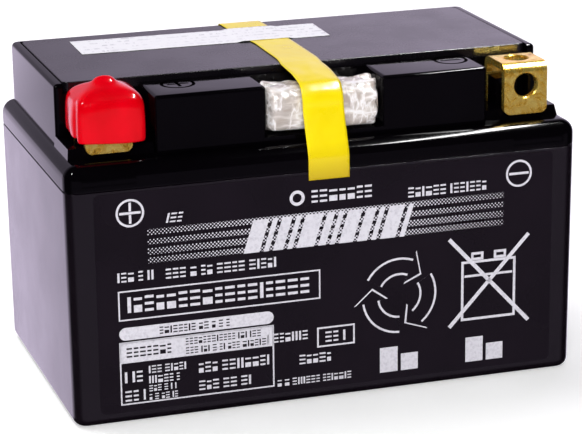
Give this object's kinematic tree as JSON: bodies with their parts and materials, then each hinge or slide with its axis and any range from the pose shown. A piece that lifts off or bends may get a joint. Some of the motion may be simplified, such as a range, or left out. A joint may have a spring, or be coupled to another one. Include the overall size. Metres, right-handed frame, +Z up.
{
  "type": "motorcycle battery",
  "caption": "Sealed 12 V motorcycle starter battery with brass strap terminals, a red terminal cap, and a bag of bolts taped into the bay of its cover.",
  "frame": {"origin": "middle of the base of the container, where the battery stands", "axes": "+X along the front face from the positive to the negative terminal, +Y to the back, +Z up"},
  "size_m": [0.15, 0.0874, 0.0967],
  "materials": {
    "container_plastic": "gloss",
    "cover_plastic": "gloss",
    "vent_cover_plastic": "satin",
    "porous_ceramic": "matte",
    "valve_rubber": "matte",
    "positive_plate": "matte",
    "negative_plate": "matte",
    "glass_mat": "matte",
    "lead": "satin",
    "seal_rubber": "matte",
    "terminal_brass": "polished",
    "cap_vinyl": "gloss",
    "front_film": "gloss",
    "label_paper": "satin",
    "tape_film": "gloss",
    "bag_film": "gloss",
    "bolt_steel": "satin"
  },
  "bodies": {
    "battery": {"container": "container_plastic", "cover": "cover_plastic", "vent_cover": "vent_cover_plastic", "flame_arrestor": "porous_ceramic", "cell_1_positive_plates": "positive_plate", "cell_2_positive_plates": "positive_plate", "cell_3_positive_plates": "positive_plate", "cell_4_positive_plates": "positive_plate", "cell_5_positive_plates": "positive_plate", "cell_6_positive_plates": "positive_plate", "cell_1_negative_plates": "negative_plate", "cell_2_negative_plates": "negative_plate", "cell_3_negative_plates": "negative_plate", "cell_4_negative_plates": "negative_plate", "cell_5_negative_plates": "negative_plate", "cell_6_negative_plates": "negative_plate", "cell_1_separators": "glass_mat", "cell_2_separators": "glass_mat", "cell_3_separators": "glass_mat", "cell_4_separators": "glass_mat", "cell_5_separators": "glass_mat", "cell_6_separators": "glass_mat", "intercell_connector_1": "lead", "intercell_connector_2": "lead", "intercell_connector_3": "lead", "intercell_connector_4": "lead", "intercell_connector_5": "lead", "positive_post": "lead", "negative_post": "lead", "positive_post_seal": "seal_rubber", "negative_post_seal": "seal_rubber", "positive_terminal": "terminal_brass", "negative_terminal": "terminal_brass", "positive_terminal_core": "cover_plastic", "negative_terminal_core": "cover_plastic", "front_label": "front_film"},
    "terminal_cap": {"positive_terminal_cap": "cap_vinyl"},
    "shipping_kit": {"top_label": "label_paper", "hold_down_tape": "tape_film", "hardware_bag": "bag_film", "terminal_bolts": "bolt_steel", "terminal_nuts": "bolt_steel"},
    "valve_1": {"safety_valve_1": "valve_rubber"},
    "valve_2": {"safety_valve_2": "valve_rubber"},
    "valve_3": {"safety_valve_3": "valve_rubber"},
    "valve_4": {"safety_valve_4": "valve_rubber"},
    "valve_5": {"safety_valve_5": "valve_rubber"},
    "valve_6": {"safety_valve_6": "valve_rubber"}
  },
  "joints": [
    {"name": "cap_pull_off", "type": "slide", "parent": "battery", "child": "terminal_cap", "axis": [0, 0, 1], "range_m": [0, 0.045]},
    {"name": "shipping_kit_lift", "type": "slide", "parent": "battery", "child": "shipping_kit", "axis": [0, 0, 1], "range_m": [0, 0.06]},
    {"name": "valve_1_lift", "type": "slide", "parent": "battery", "child": "valve_1", "axis": [0, 0, 1], "range_m": [0, 0.0005], "stiffness_N_per_m": 60, "springref_m": -0.0005},
    {"name": "valve_2_lift", "type": "slide", "parent": "battery", "child": "valve_2", "axis": [0, 0, 1], "range_m": [0, 0.0005], "stiffness_N_per_m": 60, "springref_m": -0.0005},
    {"name": "valve_3_lift", "type": "slide", "parent": "battery", "child": "valve_3", "axis": [0, 0, 1], "range_m": [0, 0.0005], "stiffness_N_per_m": 60, "springref_m": -0.0005},
    {"name": "valve_4_lift", "type": "slide", "parent": "battery", "child": "valve_4", "axis": [0, 0, 1], "range_m": [0, 0.0005], "stiffness_N_per_m": 60, "springref_m": -0.0005},
    {"name": "valve_5_lift", "type": "slide", "parent": "battery", "child": "valve_5", "axis": [0, 0, 1], "range_m": [0, 0.0005], "stiffness_N_per_m": 60, "springref_m": -0.0005},
    {"name": "valve_6_lift", "type": "slide", "parent": "battery", "child": "valve_6", "axis": [0, 0, 1], "range_m": [0, 0.0005], "stiffness_N_per_m": 60, "springref_m": -0.0005}
  ]
}
